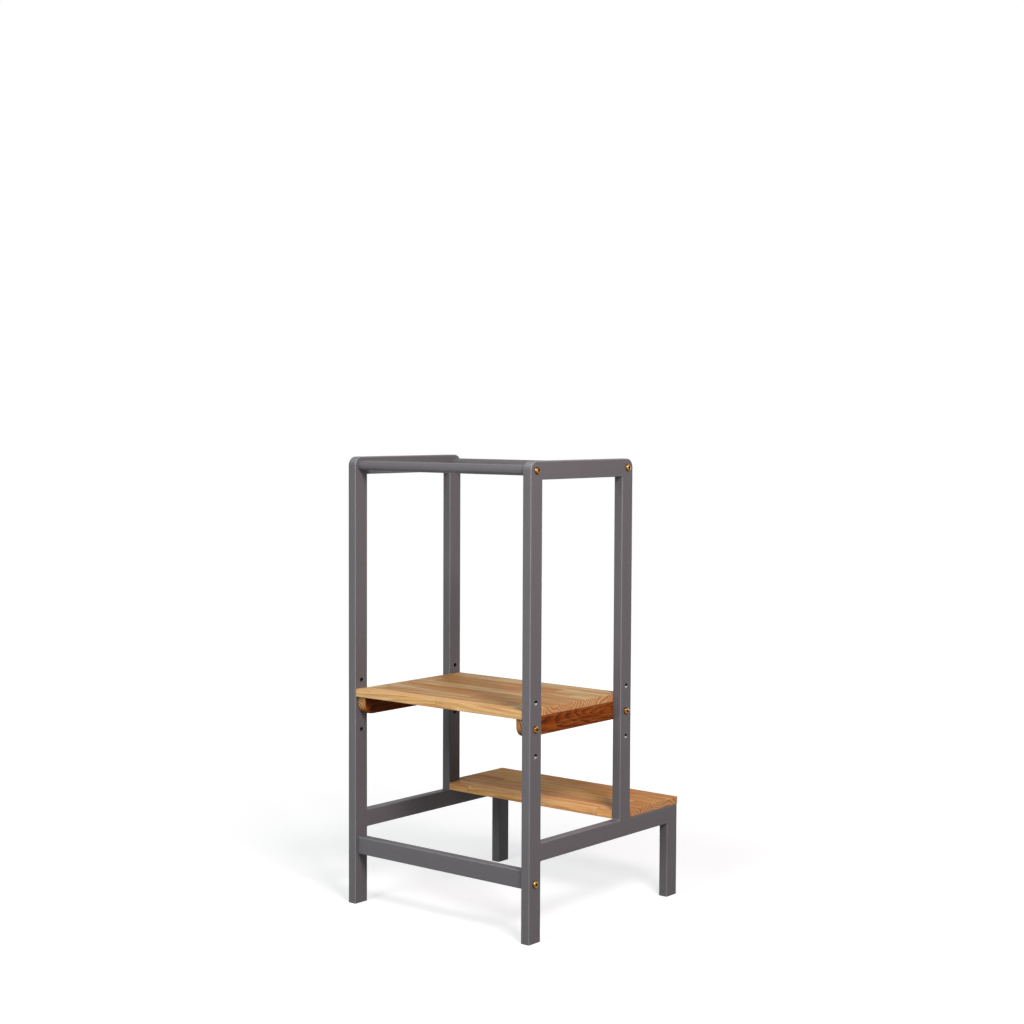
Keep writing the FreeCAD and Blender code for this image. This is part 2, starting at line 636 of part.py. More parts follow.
for side in SIDES:
    x = f"({'-' if side == 'left' else ''}({OUTER} - sizes.stock_thickness / 2))"
    for number, along in enumerate(step_screw_places(), start=1):
        y = f"{FRONT} + {along}"
        step_drills.append(screw_drills(f"step_{side}_{number}", x, y, LOWER_RAIL_BOTTOM)[-1])
        step_screws.append((x, y, f"{LOWER_RAIL_BOTTOM} + sizes.screw_pocket", POINT_UP))
bored("step_panel", step_body, step_drills)
group("platform_screws", screw, platform_screws)
group("step_screws", screw, step_screws)

# --- Check and write --------------------------------------------------------------------------------

doc.recompute()
for thing in doc.Objects:
    if "Invalid" in thing.State or "Error" in thing.State:
        raise RuntimeError(f"{thing.Name} did not build: {thing.State}")
os.makedirs("parts", exist_ok=True)
for piece in pieces:
    if piece.Shape.isNull() or not piece.Shape.isValid():
        raise RuntimeError(f"{piece.Label} is not a valid solid")
    piece.Shape.exportStep(f"parts/{piece.Label}.step")
    print(piece.Label, len(piece.Shape.Solids), round(piece.Shape.Volume / 1000, 1), "cm3")
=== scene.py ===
import math
import bpy
import numpy as np
from mathutils import Matrix, Vector


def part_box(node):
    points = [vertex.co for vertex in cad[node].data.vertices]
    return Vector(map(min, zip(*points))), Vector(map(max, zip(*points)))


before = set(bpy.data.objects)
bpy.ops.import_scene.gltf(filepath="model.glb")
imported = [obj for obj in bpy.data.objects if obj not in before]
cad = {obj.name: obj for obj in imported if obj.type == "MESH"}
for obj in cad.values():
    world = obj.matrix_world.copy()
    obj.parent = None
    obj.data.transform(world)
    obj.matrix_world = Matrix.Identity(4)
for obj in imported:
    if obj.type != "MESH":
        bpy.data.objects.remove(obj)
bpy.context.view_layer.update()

# --- Side frames -------------------------------------------------------------------------------------
# Hardwood sticks 35 x 20 mm, dowelled, glued, rounded over on the router and sprayed with two coats of
# satin dark grey lacquer. The grain still telegraphs faintly through the paint, along each stick.

LACQUER_DEEP = (0.106, 0.0985, 0.1025, 1)
LACQUER_LIGHT = (0.126, 0.1175, 0.1215, 1)
LACQUER_IN_PORES = (0.060, 0.055, 0.057, 1)
LACQUER_DUST = (0.30, 0.30, 0.31, 1)
# Lighter colour of the rounded edges: partly paint rubbed thin, partly a painted highlight along the arris.
LACQUER_RUBBED_AND_HIGHLIGHT = (0.270, 0.275, 0.285, 1)
# Painted light in the open holes: near-black walls as painted shade, and a pale lower lip as a painted
# highlight.
BORE_PAINTED_SHADE = (0.003, 0.003, 0.003, 1)
BORE_LIP_PAINTED_HIGHLIGHT = (0.62, 0.61, 0.60, 1)

# Each post has three holes for the platform. Its bolts fill the middle one, and the two a pitch above
# and below it are open. All lie a reach in front of or behind the middle of the bolts.
BOLT_HEAD_RADIUS = 0.007
HOLE_PITCH = 0.050
HOLE_RADIUS = 0.0044
HOLE_BLUR = 0.00005
bolts_low, bolts_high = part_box("platform_bolts")
HOLES_MIDDLE = (bolts_low + bolts_high) / 2
HOLES_REACH = (bolts_high.y - bolts_low.y) / 2 - BOLT_HEAD_RADIUS
POST_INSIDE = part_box("right_front_post")[0].x
POST_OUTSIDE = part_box("right_front_post")[1].x

# The pale lip of a hole is a painted highlight, where light would fall on the lower wall of the bore. It
# fades in at the first of two depths and is whole at the second: depths from the post's face, and then below
# the middle of the hole. On the inside faces, in the frames' shade, it is a tenth as pale.
OUTER_LIP_HIGHLIGHT = (0.0075, 0.0045)
INNER_LIP_HIGHLIGHT = (0.0045, 0.0025)
INNER_LIP_HIGHLIGHT_SHARE = 0.10
HIGHLIGHT_BELOW_MIDDLE = (0.0010, 0.0020)


def shader_node(tree, kind, inputs=None, **settings):
    """Adds one shader node: inputs that are sockets are joined to it, and plain values are set on it."""
    made = tree.nodes.new(kind)
    for name, value in settings.items():
        setattr(made, name, value)
    for name, value in (inputs or {}).items():
        socket = made.inputs[name]
        if isinstance(value, bpy.types.NodeSocket):
            tree.links.new(value, socket)
        else:
            socket.default_value = value
    return made


def maths(tree, operation, first, second=0.5):
    """One Math node: operation on one or two numbers or sockets."""
    return shader_node(tree, "ShaderNodeMath", {0: first, 1: second}, operation=operation).outputs[0]


def split(tree, vector):
    """X, Y and Z of a vector."""
    return shader_node(tree, "ShaderNodeSeparateXYZ", {0: vector}).outputs


def distance(tree, x, y, z):
    """How far the point x, y, z lies from the origin."""
    point = shader_node(tree, "ShaderNodeCombineXYZ", {0: x, 1: y, 2: z}).outputs[0]
    return shader_node(tree, "ShaderNodeVectorMath", {0: point}, operation="LENGTH").outputs["Value"]


def between(tree, value, low, high, to_low=0.0, to_high=1.0):
    """Value rescaled so that low..high becomes to_low..to_high, held at both ends."""
    return shader_node(tree, "ShaderNodeMapRange", {
        "Value": value, "From Min": low, "From Max": high, "To Min": to_low, "To Max": to_high,
    }).outputs["Result"]


def swayed(tree, noise, low, high):
    """Number that sways from low to high with a noise, most of which lies from 0.3 to 0.7."""
    return between(tree, noise, 0.3, 0.7, low, high)


def blended(tree, share, first, second):
    """Two colours mixed by share: 0 gives the first and 1 the second."""
    return shader_node(tree, "ShaderNodeMix", {"Factor": share, 6: first, 7: second},
                       data_type="RGBA").outputs[2]


def stained(tree, colour, mask, stain, share):
    """Colour with a share of another laid over it wherever the mask is 1."""
    return blended(tree, maths(tree, "MULTIPLY", mask, share), colour, stain)


def stretched_noise(tree, place, scale, detail=3.0, roughness=0.55, distortion=0.0, stretch=(1, 1, 1)):
    """Noise whose three axes are first multiplied by stretch, so a small number makes long streaks."""
    mapped = shader_node(tree, "ShaderNodeMapping", {"Vector": place, "Scale": stretch})
    return shader_node(tree, "ShaderNodeTexNoise", {
        "Vector": mapped.outputs[0], "Scale": scale, "Detail": detail, "Roughness": roughness,
        "Distortion": distortion}).outputs["Fac"]


def arris(tree):
    """1 on a rounded edge, where the normal turns away from all three axes, and 0 on the flats."""
    normal = shader_node(tree, "ShaderNodeNewGeometry").outputs["Normal"]
    size = shader_node(tree, "ShaderNodeVectorMath", {0: normal}, operation="ABSOLUTE").outputs[0]
    x, y, z = split(tree, size)
    largest = maths(tree, "MAXIMUM", maths(tree, "MAXIMUM", x, y), z)
    return between(tree, largest, 0.995, 0.80)


def bumped(tree, layers):
    """Normal raised by several layers of (height socket, depth in metres)."""
    normal = None
    for height, depth in layers:
        inputs = {"Height": height, "Distance": depth, "Strength": 1.0}
        if normal is not None:
            inputs["Normal"] = normal
        normal = shader_node(tree, "ShaderNodeBump", inputs).outputs["Normal"]
    return normal


def new_finish(name):
    """Empty material with its node tree and the object coordinates that its patterns read."""
    material = bpy.data.materials.new(name)
    material.use_nodes = True
    tree = material.node_tree
    tree.nodes.clear()
    return material, tree, shader_node(tree, "ShaderNodeTexCoord").outputs["Object"]


def surface(tree, inputs):
    """Principled surface that ends a material."""
    skin = shader_node(tree, "ShaderNodeBsdfPrincipled", inputs)
    shader_node(tree, "ShaderNodeOutputMaterial", {"Surface": skin.outputs[0]})


def from_nearer(tree, value, middle, reach):
    """How far a value lies past the nearer of two lines, one a reach below the middle and one above."""
    off_middle = maths(tree, "SUBTRACT", value, middle)
    line = maths(tree, "MULTIPLY", maths(tree, "SIGN", off_middle), reach)
    return maths(tree, "SUBTRACT", off_middle, line)


def bore_painted_shade_and_highlight(tree, place):
    """Two masks for the open holes: the whole wall of a bore, painted near black as shade, and its lower
    lip, painted pale as a highlight where light would fall.
    """
    x, y, z = split(tree, place)
    beside = from_nearer(tree, y, HOLES_MIDDLE.y, HOLES_REACH)
    above = from_nearer(tree, z, HOLES_MIDDLE.z, HOLE_PITCH)
    radius = distance(tree, beside, above, 0.0)
    bore_wall_shade = between(tree, radius, HOLE_RADIUS + HOLE_BLUR, HOLE_RADIUS - HOLE_BLUR)
    from_centre = maths(tree, "ABSOLUTE", x)
    outer_highlight = between(tree, from_centre, POST_OUTSIDE - OUTER_LIP_HIGHLIGHT[0], POST_OUTSIDE - OUTER_LIP_HIGHLIGHT[1])
    inner_highlight = between(
        tree, from_centre, POST_INSIDE + INNER_LIP_HIGHLIGHT[0], POST_INSIDE + INNER_LIP_HIGHLIGHT[1], 0.0, INNER_LIP_HIGHLIGHT_SHARE)
    highlight_depth = maths(tree, "MAXIMUM", outer_highlight, inner_highlight)
    highlight_below = between(tree, above, -HIGHLIGHT_BELOW_MIDDLE[0], -HIGHLIGHT_BELOW_MIDDLE[1])
    return bore_wall_shade, maths(tree, "MULTIPLY", maths(tree, "MULTIPLY", bore_wall_shade, highlight_depth), highlight_below)


def grey_lacquer(name, grain, rounded_edges=True):
    """Satin grey lacquer over wood grain, whose direction is given as a stretch for the noise.

    A round bar has no rounded edges and no open holes, so it goes without both.
    """
    material, tree, place = new_finish(name)
    cloud = stretched_noise(tree, place, scale=9.0)
    fibre = stretched_noise(
        tree, place, scale=420.0, detail=4.0, roughness=0.6, distortion=0.3, stretch=grain)
    pores = between(tree, fibre, 0.60, 0.72)
    peel = stretched_noise(tree, place, scale=780.0, detail=2.0, roughness=0.5)
    dust = stretched_noise(tree, place, scale=2600.0, detail=1.0, roughness=0.5)
    colour = blended(tree, cloud, LACQUER_DEEP, LACQUER_LIGHT)
    colour = stained(tree, colour, pores, LACQUER_IN_PORES, share=0.34)
    colour = blended(tree, between(tree, dust, 0.60, 0.70, 0.0, 0.42), colour, LACQUER_DUST)
    if rounded_edges:
        # Rounded edges are lighter: partly paint rubbed thin, and partly a painted highlight along the
        # arris.
        rub = stretched_noise(tree, place, scale=60.0, detail=4.0, roughness=0.7)
        rubbed_and_highlight = between(tree, rub, 0.30, 0.75, 0.28, 0.62)
        colour = stained(tree, colour, arris(tree), LACQUER_RUBBED_AND_HIGHLIGHT, share=rubbed_and_highlight)
        # The bore walls are painted near black as shade, and their lower lips pale as a painted highlight.
        bore_wall_shade, lip_highlight = bore_painted_shade_and_highlight(tree, place)
        colour = stained(tree, colour, bore_wall_shade, BORE_PAINTED_SHADE, share=0.97)
        colour = blended(tree, lip_highlight, colour, BORE_LIP_PAINTED_HIGHLIGHT)
    rough = maths(tree, "ADD", swayed(tree, cloud, 0.44, 0.52), swayed(tree, peel, -0.03, 0.04))
    surface(tree, {
        "Base Color": colour, "Roughness": rough, "Specular IOR Level": 0.24,
        "Normal": bumped(tree, [(cloud, 0.0004), (fibre, 0.00006), (peel, 0.00005)])})
    return material


def wear(finish, *names):
    """Gives CAD nodes a finish."""
    for name in names:
        cad[name].data.materials.clear()
        cad[name].data.materials.append(finish)


GRAIN_STRETCH = 0.03
upright_lacquer = grey_lacquer("grey_lacquer_upright", (1.0, 1.0, GRAIN_STRETCH))
rail_lacquer = grey_lacquer("grey_lacquer_rail", (1.0, GRAIN_STRETCH, 1.0))
for side in ("left", "right"):
    wear(upright_lacquer, f"{side}_front_post", f"{side}_rear_post", f"{side}_step_leg")
    wear(rail_lacquer, f"{side}_top_rail", f"{side}_lower_rail")

# --- Frame dowels ------------------------------------------------------------------------------------
# Beech pins in the glue joints of the side frames and in the ends of the front board. They are bare
# wood and stay hidden inside.

BEECH_DARK = (0.52, 0.33, 0.19, 1)
BEECH_PALE = (0.64, 0.44, 0.28, 1)

dowel_beech, tree, place = new_finish("dowel_beech")
beech_fibre = stretched_noise(
    tree, place, scale=300.0, detail=4.0, roughness=0.6, distortion=0.2, stretch=(0.2, 1.0, 1.0))
surface(tree, {
    "Base Color": blended(tree, beech_fibre, BEECH_DARK, BEECH_PALE),
    "Roughness": swayed(tree, beech_fibre, 0.55, 0.75),
    "Normal": bumped(tree, [(beech_fibre, 0.0001)])})
wear(dowel_beech, "left_frame_dowels", "right_frame_dowels", "board_dowels")

# --- Round bars and front board ----------------------------------------------------------------------
# Turned bars 20 mm thick at the top and a 35 x 20 mm board near the floor, all between the frames and
# in the same lacquer, with the grain along their length.

ALONG_THE_BAR = (GRAIN_STRETCH, 1.0, 1.0)
wear(grey_lacquer("grey_lacquer_bar", ALONG_THE_BAR, rounded_edges=False), "front_bar", "rear_bar")
wear(grey_lacquer("grey_lacquer_board", ALONG_THE_BAR), "front_board")

# --- Platform and step -------------------------------------------------------------------------------
# Two 16 mm panels, edge-glued from short staves that run from side to side, sanded, with eased edges,
# and oiled until the grain stands out in honey and tan.

STAVE_WIDTH = 0.0395
STAVE_LENGTH = 0.340
FRONT_STAVE_END = (1.02, 0.98)

# The heart of a length lies up to 55 mm beside its middle and up to 45 mm above or below it, and the
# grain is moved along by up to 0.9 m. These are drawn apart from the tint, by HEART_DRAW. The rings
# wander by up to 8 mm and lean by up to a twentieth of the way along.
HEART_SPAN = (0.9, 0.110, 0.090)
HEART_START = (0.0, -0.055, -0.045)
HEART_DRAW = (0.37, 0.61, 0.83)
FEWEST_RINGS_PER_METRE = 100.0
MOST_RINGS_PER_METRE = 190.0
RING_WANDER = 0.008
RING_LEAN = 0.10

PANEL_DARK_STREAK = (0.390, 0.130, 0.024, 1)
PANEL_PALE_STREAK = (0.72, 0.50, 0.255, 1)
PANEL_LATE = (0.32, 0.105, 0.020, 1)
PANEL_FIBRE = (0.68, 0.42, 0.19, 1)
PANEL_PORE = (0.13, 0.050, 0.016, 1)
PANEL_RUBBED = (0.60, 0.40, 0.22, 1)
END_EARLY = (0.81, 0.515, 0.238, 1)
END_LATE = (0.33, 0.092, 0.020, 1)
END_VESSEL = (0.30, 0.090, 0.025, 1)
END_RAY = (0.74, 0.42, 0.19, 1)
END_DEEP = (0.52, 0.20, 0.070, 1)
GLUE_LINE = (0.16, 0.07, 0.028, 1)


def facing(tree, axis):
    """How far the surface faces an axis, from -1 to 1: its normal's X, Y or Z."""
    return split(tree, shader_node(tree, "ShaderNodeNewGeometry").outputs["Normal"])[axis]


def lucky(tree, spot):
    """Three random numbers, the same wherever spot is the same."""
    return shader_node(tree, "ShaderNodeTexWhiteNoise", {"Vector": spot},
                       noise_dimensions="3D").outputs["Color"]


def late_wood(tree, rings, first, full, last):
    """Dark part of each year ring: none up to first, full at full, and gone again from last to the end."""
    ring = maths(tree, "FRACT", rings)
    return maths(tree, "MULTIPLY", between(tree, ring, first, full), between(tree, ring, 1.0, last))


def oiled_panel(name, panel, ripped, seed, pale, tan, sapwood, front_figure):
    """Edge-glued staves along X, each length with its own tint from pale to tan.

    The front stave has ripped metres sawn off its edge. It is sapwood, with only the share
    front_figure of the streaks and rings that the others show.
    """
    material, tree, place = new_finish(name)
    low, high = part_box(panel)
    x, y, z = split(tree, place)
    across = maths(tree, "DIVIDE", maths(tree, "SUBTRACT", y, low.y - ripped), STAVE_WIDTH)
    stave = maths(tree, "FLOOR", across)
    shift = shader_node(tree, "ShaderNodeTexWhiteNoise", {"W": maths(tree, "ADD", stave, seed)},
                        noise_dimensions="1D").outputs["Value"]
    along = maths(tree, "ADD", maths(tree, "DIVIDE", x, STAVE_LENGTH), shift)
    length = maths(tree, "FLOOR", along)
    plank = shader_node(tree, "ShaderNodeCombineXYZ", {0: stave, 1: length, 2: seed}).outputs[0]
    tint_luck, ring_luck, lean_luck = split(tree, lucky(tree, plank))

    # Each length was sawn beside its own heart, so one face shows straight lines and another long flames.
    hearts = lucky(tree, shader_node(tree, "ShaderNodeVectorMath", {0: plank, 1: HEART_DRAW},
                                     operation="ADD").outputs[0])
    offset = shader_node(tree, "ShaderNodeVectorMath", {0: hearts, 1: HEART_SPAN, 2: HEART_START},
                         operation="MULTIPLY_ADD").outputs[0]
    inside = maths(tree, "MULTIPLY", maths(tree, "SUBTRACT", maths(tree, "FRACT", across), 0.5), STAVE_WIDTH)
    raised = maths(tree, "SUBTRACT", z, (low.z + high.z) / 2)
    local = shader_node(tree, "ShaderNodeCombineXYZ", {0: x, 1: inside, 2: raised}).outputs[0]
    moved = shader_node(tree, "ShaderNodeVectorMath", {0: local, 1: offset}, operation="ADD").outputs[0]
    beside_heart, above_heart = split(tree, moved)[1:]
    drift = shader_node(tree, "ShaderNodeVectorMath", {0: moved, 1: hearts}, operation="ADD").outputs[0]
    sway = stretched_noise(tree, drift, scale=11.0, detail=2.0, roughness=0.5, stretch=(0.32, 1.0, 1.0))
    wander = between(tree, sway, 0.25, 0.75, -RING_WANDER, RING_WANDER)
    slant = maths(tree, "MULTIPLY", x, RING_LEAN)
    lean = maths(tree, "MULTIPLY", maths(tree, "SUBTRACT", lean_luck, 0.5), slant)
    radius = distance(tree, 0.0, beside_heart, above_heart)
    radius = maths(tree, "ADD", maths(tree, "ADD", radius, wander), lean)
    rings_per_metre = between(tree, ring_luck, 0.0, 1.0, FEWEST_RINGS_PER_METRE, MOST_RINGS_PER_METRE)
    rings = maths(tree, "MULTIPLY", radius, rings_per_metre)
    late = late_wood(tree, rings, first=0.25, full=0.88, last=0.93)

    fibre = stretched_noise(
        tree, drift, scale=520.0, detail=4.0, roughness=0.65, distortion=0.2, stretch=(0.035, 1.0, 1.0))
    streak = stretched_noise(
        tree, drift, scale=95.0, roughness=0.6, distortion=0.4, stretch=(0.045, 1.0, 1.0))
    fleck = stretched_noise(tree, drift, scale=1300.0, detail=2.0, roughness=0.5, stretch=(0.03, 1.0, 1.0))
    pores = between(tree, fleck, 0.60, 0.70)
    colour = blended(tree, between(tree, tint_luck, 0.25, 0.75), pale, tan)
    colour = blended(tree, between(tree, across, *FRONT_STAVE_END, 0.0, 0.74), colour, sapwood)
    figure = between(tree, across, *FRONT_STAVE_END, 1.0, front_figure)
    dark_streak = between(tree, streak, 0.51, 0.60, 0.0, 0.70)
    pale_streak = between(tree, streak, 0.46, 0.35, 0.0, 0.66)
    colour = stained(tree, colour, dark_streak, PANEL_DARK_STREAK, share=figure)
    colour = stained(tree, colour, pale_streak, PANEL_PALE_STREAK, share=figure)
    colour = stained(tree, colour, late, PANEL_LATE, share=maths(tree, "MULTIPLY", figure, 0.50))
    colour = blended(tree, between(tree, fibre, 0.50, 0.68, 0.0, 0.30), colour, PANEL_FIBRE)
    colour = stained(tree, colour, pores, PANEL_PORE, share=0.36)

    # End grain drinks more oil: pinker and deeper, with the rings standing out.
    end = between(tree, maths(tree, "ABSOLUTE", facing(tree, 0)), 0.75, 0.95)
    vessels = stretched_noise(tree, place, scale=1500.0, detail=2.0, roughness=0.6)
    rays = stretched_noise(tree, place, scale=700.0, detail=2.0, roughness=0.6, stretch=(1.0, 1.0, 0.12))
    grainy = stained(tree, END_EARLY, late, END_LATE, share=0.85)
    grainy = blended(tree, between(tree, vessels, 0.52, 0.68, 0.0, 0.45), grainy, END_VESSEL)
    grainy = blended(tree, between(tree, rays, 0.55, 0.70, 0.0, 0.28), grainy, END_RAY)
    grainy = blended(tree, between(tree, tint_luck, 0.0, 1.0, 0.0, 0.45), grainy, END_DEEP)
    colour = blended(tree, end, colour, grainy)

    # Glue lines between staves, and a hair of a line where two lengths meet.
    side_line = between(tree, maths(tree, "PINGPONG", across, 0.5), 0.014, 0.004)
    end_line = between(tree, maths(tree, "PINGPONG", along, 0.5), 0.0022, 0.0006)
    glue = maths(tree, "MAXIMUM", side_line, end_line)
    colour = stained(tree, colour, glue, GLUE_LINE, share=0.55)
    rub = stretched_noise(tree, place, scale=45.0, roughness=0.6)
    colour = stained(tree, colour, arris(tree), PANEL_RUBBED, share=swayed(tree, rub, 0.1, 0.4))
    sheen = stretched_noise(tree, place, scale=14.0)
    rough = maths(tree, "ADD", swayed(tree, sheen, 0.52, 0.64), maths(tree, "MULTIPLY", pores, 0.12))
    surface(tree, {
        "Base Color": colour, "Roughness": rough, "Specular IOR Level": 0.10,
        "Normal": bumped(tree, [(late, -0.00006), (fibre, 0.00007), (pores, -0.00009), (glue, -0.00010)])})
    return material


platform_wood = oiled_panel(
    "oiled_platform", "platform_panel", ripped=0.010, seed=4.0, pale=(0.530, 0.398, 0.190, 1),
    tan=(0.368, 0.184, 0.053, 1), sapwood=(0.88, 0.522, 0.212, 1), front_figure=0.85)
step_wood = oiled_panel(
    "oiled_step", "step_panel", ripped=0.008, seed=14.0, pale=(0.76, 0.386, 0.086, 1),
    tan=(0.555, 0.207, 0.032, 1), sapwood=(0.96, 0.50, 0.205, 1), front_figure=0.65)
wear(platform_wood, "platform_panel")
wear(step_wood, "step_panel")

# --- Cleats ------------------------------------------------------------------------------------------
# Two solid battens 35 x 20 mm under the platform, cut from darker wood with a bold swirling grain and
# oiled. Their lower corners are rounded so that no knee meets a sharp end.

CLEAT_RINGS_PER_METRE = 205.0
CLEAT_SWIRL = 0.012
CLEAT_EARLY = (0.33, 0.076, 0.011, 1)
CLEAT_STREAK = (0.175, 0.032, 0.0045, 1)
CLEAT_LATE = (0.072, 0.0105, 0.002, 1)
CLEAT_FIBRE = (0.47, 0.175, 0.040, 1)
CLEAT_PORE = (0.042, 0.007, 0.002, 1)
CLEAT_END_EARLY = (0.62, 0.320, 0.120, 1)
CLEAT_END_LATE = (0.11, 0.036, 0.012, 1)
CLEAT_RUBBED = (0.45, 0.22, 0.09, 1)


def oiled_cleat(name, cleat, heart, lean, ring_shift):
    """One piece of wood with the grain along Y: rings round a heart line that leans away from the piece.

    The heart is given from the middle of the cleat, the lean in metres per metre of length, and
    ring_shift moves every ring that far towards the heart.
    """
    material, tree, place = new_finish(name)
    low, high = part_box(cleat)
    moved = shader_node(tree, "ShaderNodeVectorMath", {0: place, 1: (low + high) / 2 + Vector(heart)},
                        operation="SUBTRACT").outputs[0]
    swirl = stretched_noise(
        tree, moved, scale=14.0, detail=2.0, roughness=0.5, distortion=0.4, stretch=(1.0, 0.36, 1.0))
    x, y, z = split(tree, moved)
    sideways = maths(tree, "SUBTRACT", x, maths(tree, "MULTIPLY", y, lean))
    radius = distance(tree, sideways, 0.0, z)
    radius = maths(tree, "ADD", radius, between(tree, swirl, 0.2, 0.8, -CLEAT_SWIRL, CLEAT_SWIRL))
    rings = maths(tree, "MULTIPLY", maths(tree, "ADD", radius, ring_shift), CLEAT_RINGS_PER_METRE)
    late = late_wood(tree, rings, first=0.30, full=0.85, last=0.90)
    fibre = stretched_noise(
        tree, moved, scale=480.0, detail=4.0, roughness=0.65, distortion=0.2, stretch=(1.0, 0.04, 1.0))
    streak = stretched_noise(
        tree, moved, scale=60.0, roughness=0.6, distortion=0.5, stretch=(1.0, 0.08, 1.0))
    fleck = stretched_noise(tree, moved, scale=1200.0, detail=2.0, roughness=0.5, stretch=(1.0, 0.035, 1.0))
    pores = between(tree, fleck, 0.58, 0.68)
    colour = blended(tree, between(tree, streak, 0.35, 0.7), CLEAT_EARLY, CLEAT_STREAK)
    colour = stained(tree, colour, late, CLEAT_LATE, share=0.82)
    colour = blended(tree, between(tree, fibre, 0.52, 0.64, 0.0, 0.60), colour, CLEAT_FIBRE)
    colour = stained(tree, colour, pores, CLEAT_PORE, share=0.70)
    end = between(tree, maths(tree, "ABSOLUTE", facing(tree, 1)), 0.70, 0.95)
    colour = blended(tree, end, colour, stained(tree, CLEAT_END_EARLY, late, CLEAT_END_LATE, share=0.90))
    colour = stained(tree, colour, arris(tree), CLEAT_RUBBED, share=swayed(tree, streak, 0.05, 0.30))
    rough = maths(tree, "ADD", swayed(tree, swirl, 0.52, 0.64), maths(tree, "MULTIPLY", pores, 0.12))
    surface(tree, {
        "Base Color": colour, "Roughness": rough, "Specular IOR Level": 0.05,
        "Normal": bumped(tree, [(late, -0.00008), (fibre, 0.00008), (pores, -0.00010)])})
    return material


left_wood = oiled_cleat(
    "oiled_cleat_left", "left_cleat", heart=(-0.019, -0.0175, -0.0305), lean=0.06, ring_shift=0.003)
right_wood = oiled_cleat(
    "oiled_cleat_right", "right_cleat", heart=(0.001, 0.0625, 0.0035), lean=0.11, ring_shift=0.0)
wear(left_wood, "left_cleat")
wear(right_wood, "right_cleat")

# --- Furniture bolts ---------------------------------------------------------------------------------
# M8 button-head bolts with a hexagon socket, plated in a warm satin brass. Their undersides are painted
# darker as shade, and the socket and the rim, where the head meets the post, are painted dark as shade.

SHADE_REACH = 0.0050


def plated_metal(name, bright, dull, underside_shade, hollow_shade, smoothest, roughest):
    """Plated metal: cloudy tarnish and fine turning marks, with painted shade on the undersides and in the
    socket and other hollows.
    """
    material, tree, place = new_finish(name)
    tarnish = stretched_noise(tree, place, scale=230.0, roughness=0.6)
    marks = stretched_noise(tree, place, scale=2400.0, roughness=0.6)
    # Painted shade: the colour darkens wherever the surface is hemmed in, as in the socket.
    openness = shader_node(tree, "ShaderNodeAmbientOcclusion", {"Distance": SHADE_REACH},
                           samples=8).outputs["AO"]
    hollow_shade_mask = between(tree, openness, 0.86, 0.42)
    # Painted shade: faces turned downwards are darker and more orange.
    downwards = between(tree, facing(tree, 2), 0.25, -0.45)
    underside_shade_mask = maths(tree, "ADD", downwards, swayed(tree, tarnish, -0.25, 0.25))
    colour = blended(tree, between(tree, tarnish, 0.38, 0.50, 0.0, 0.97), bright, dull)
    colour = blended(tree, between(tree, underside_shade_mask, 0.0, 1.0, 0.0, 0.9), colour, underside_shade)
    colour = blended(tree, hollow_shade_mask, colour, hollow_shade)
    rough = maths(tree, "ADD", swayed(tree, tarnish, smoothest, roughest),
                  maths(tree, "MULTIPLY", hollow_shade_mask, 0.25))
    surface(tree, {
        "Base Color": colour, "Roughness": rough, "Metallic": 1.0,
        "Normal": bumped(tree, [(tarnish, 0.00004), (marks, 0.00001)])})
    return material


brass = plated_metal(
    "satin_brass", bright=(0.64, 0.44, 0.095, 1), dull=(0.140, 0.056, 0.010, 1),
    underside_shade=(0.190, 0.045, 0.008, 1), hollow_shade=(0.060, 0.011, 0.004, 1), smoothest=0.09, roughest=0.20)
wear(brass, "bar_bolts", "board_bolts", "platform_bolts")

# --- Inserts and screws ------------------------------------------------------------------------------
# Zinc-plated threaded inserts in the ends of the bars, the board and the cleats, and countersunk
# screws that hold both panels from below, deep in their pockets.

# The zinc is painted darker underneath and in its hollows as well, as shade.
zinc = plated_metal(
    "zinc_plate", bright=(0.66, 0.66, 0.64, 1), dull=(0.45, 0.45, 0.43, 1),
    underside_shade=(0.40, 0.40, 0.38, 1), hollow_shade=(0.08, 0.075, 0.07, 1), smoothest=0.28, roughest=0.42)
wear(zinc, "bar_inserts", "board_inserts", "cleat_inserts", "platform_screws", "step_screws")

# --- Floor and light ---------------------------------------------------------------------------------
# A white studio floor and surround, one key lamp high on the right in front, and soft lamps that fill
# in from the front, from low on the left, from the right, from above and from behind.

FLOOR_HALF = 14.0
FLOOR_BOUNCE = (0.11, 0.11, 0.11, 1)
FLOOR_SEEN = (0.46, 0.46, 0.46, 1)

# The glow that the camera sees on the floor grows between these distances from the stool's middle.
NEAR = 0.5
FAR = 2.5
GLOW_NEAR = 0.66
GLOW_FAR = 0.94
SURROUND_LIGHT = 0.13
SURROUND_SEEN = 1.0
WHITE = (1, 1, 1, 1)
COOL_LIGHT = (0.88, 0.975, 1.0)


def seen_directly(tree):
    """1 for what the camera, a mirror or a glass sees, and 0 for light that falls on the object."""
    path = shader_node(tree, "ShaderNodeLightPath").outputs
    sharp = maths(tree, "MAXIMUM", path["Is Camera Ray"], path["Is Glossy Ray"])
    return maths(tree, "MAXIMUM", sharp, path["Is Transmission Ray"])


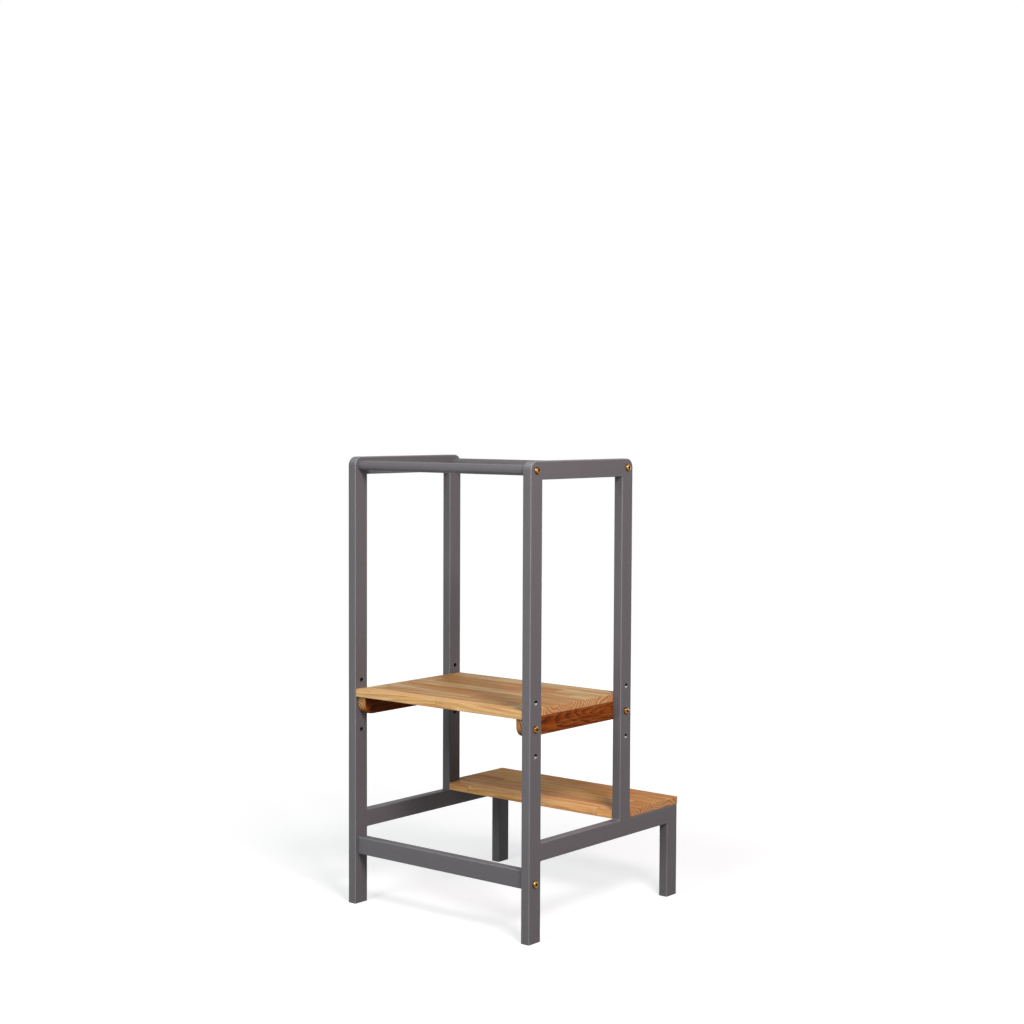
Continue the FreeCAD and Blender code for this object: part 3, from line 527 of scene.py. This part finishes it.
floor_mesh = bpy.data.meshes.new("studio_floor")
floor_corners = FLOOR_HALF * np.array([(-1, -1, 0), (1, -1, 0), (1, 1, 0), (-1, 1, 0)])
floor_mesh.from_pydata(floor_corners, [], [(0, 1, 2, 3)])
studio_floor = bpy.data.objects.new("studio_floor", floor_mesh)
bpy.context.scene.collection.objects.link(studio_floor)
floor_white, tree, place = new_finish("floor_white")
seen = seen_directly(tree)
floor_colour = blended(tree, seen, FLOOR_BOUNCE, FLOOR_SEEN)
floor_paint = shader_node(tree, "ShaderNodeBsdfDiffuse", {"Color": floor_colour})
away = shader_node(tree, "ShaderNodeVectorMath", {0: place}, operation="LENGTH").outputs["Value"]
glow = maths(tree, "MULTIPLY", seen, between(tree, away, NEAR, FAR, GLOW_NEAR, GLOW_FAR))
floor_glow = shader_node(tree, "ShaderNodeEmission", {"Strength": glow})
floor_sum = shader_node(tree, "ShaderNodeAddShader", {0: floor_paint.outputs[0], 1: floor_glow.outputs[0]})
shader_node(tree, "ShaderNodeOutputMaterial", {"Surface": floor_sum.outputs[0]})
floor_mesh.materials.append(floor_white)

world = bpy.data.worlds.new("studio")
bpy.context.scene.world = world
world.use_nodes = True
tree = world.node_tree
tree.nodes.clear()
strength = between(tree, seen_directly(tree), 0.0, 1.0, SURROUND_LIGHT, SURROUND_SEEN)
surround = shader_node(tree, "ShaderNodeBackground", {"Color": WHITE, "Strength": strength})
shader_node(tree, "ShaderNodeOutputWorld", {"Surface": surround.outputs[0]})


def lamp(name, place, size, power, colour, target=(0.0, 0.0, 0.5)):
    """Square area lamp that faces a target and that the camera doesn't see."""
    light = bpy.data.lights.new(name, "AREA")
    light.size = size
    light.energy = power
    light.color = colour
    fixture = bpy.data.objects.new(name, light)
    bpy.context.scene.collection.objects.link(fixture)
    fixture.location = place
    fixture.visible_camera = False
    fixture.rotation_euler = (Vector(target) - Vector(place)).to_track_quat("-Z", "Y").to_euler()


lamp("key", (1.98, -1.28, 2.30), size=0.75, power=60.0, colour=(1.0, 0.955, 0.965))
lamp("fill_front", (0.1, -3.7, 2.50), size=1.3, power=83.0, colour=COOL_LIGHT)
lamp("fill_low", (-0.75, -1.30, 0.20), size=0.4, power=2.1, colour=COOL_LIGHT, target=(0.0, 0.0, 0.2))
lamp("fill_right", (2.0, -0.95, 1.65), size=1.2, power=18.0, colour=(1.0, 0.75, 0.80))
lamp("fill_top", (-0.2, 0.3, 3.0), size=1.8, power=3.0, colour=(0.93, 0.98, 1.0))
lamp("fill_back", (-0.3, 2.8, 0.50), size=0.9, power=22.0, colour=(1.0, 0.98, 0.96))

# --- Camera ------------------------------------------------------------------------------------------
# At standing height, in front and to the right, looking slightly down. Its place, heading, tilt, lean
# and focal length were fitted to the edges and corners of the stool in the photograph.

EYE = (2.3155, -2.8339, 0.9838)
HEADING = math.radians(39.37)
TILT = math.radians(3.05)
LEAN = math.radians(-0.25)
SENSOR_WIDTH = 36.0
FOCAL_LENGTH = 63.84

forward = Vector((-math.sin(HEADING) * math.cos(TILT), math.cos(HEADING) * math.cos(TILT), -math.sin(TILT)))
level_right = forward.cross(Vector((0, 0, 1))).normalized()
level_down = forward.cross(level_right)
right = math.cos(LEAN) * level_right + math.sin(LEAN) * level_down
down = math.cos(LEAN) * level_down - math.sin(LEAN) * level_right
lens = bpy.data.cameras.new("camera")
lens.sensor_width = SENSOR_WIDTH
lens.lens = FOCAL_LENGTH
camera = bpy.data.objects.new("camera", lens)
bpy.context.scene.collection.objects.link(camera)
turned = Matrix((right, -down, -forward)).transposed().to_4x4()
camera.matrix_world = Matrix.Translation(EYE) @ turned
bpy.context.scene.camera = camera
bpy.context.scene.view_settings.view_transform = "Standard"
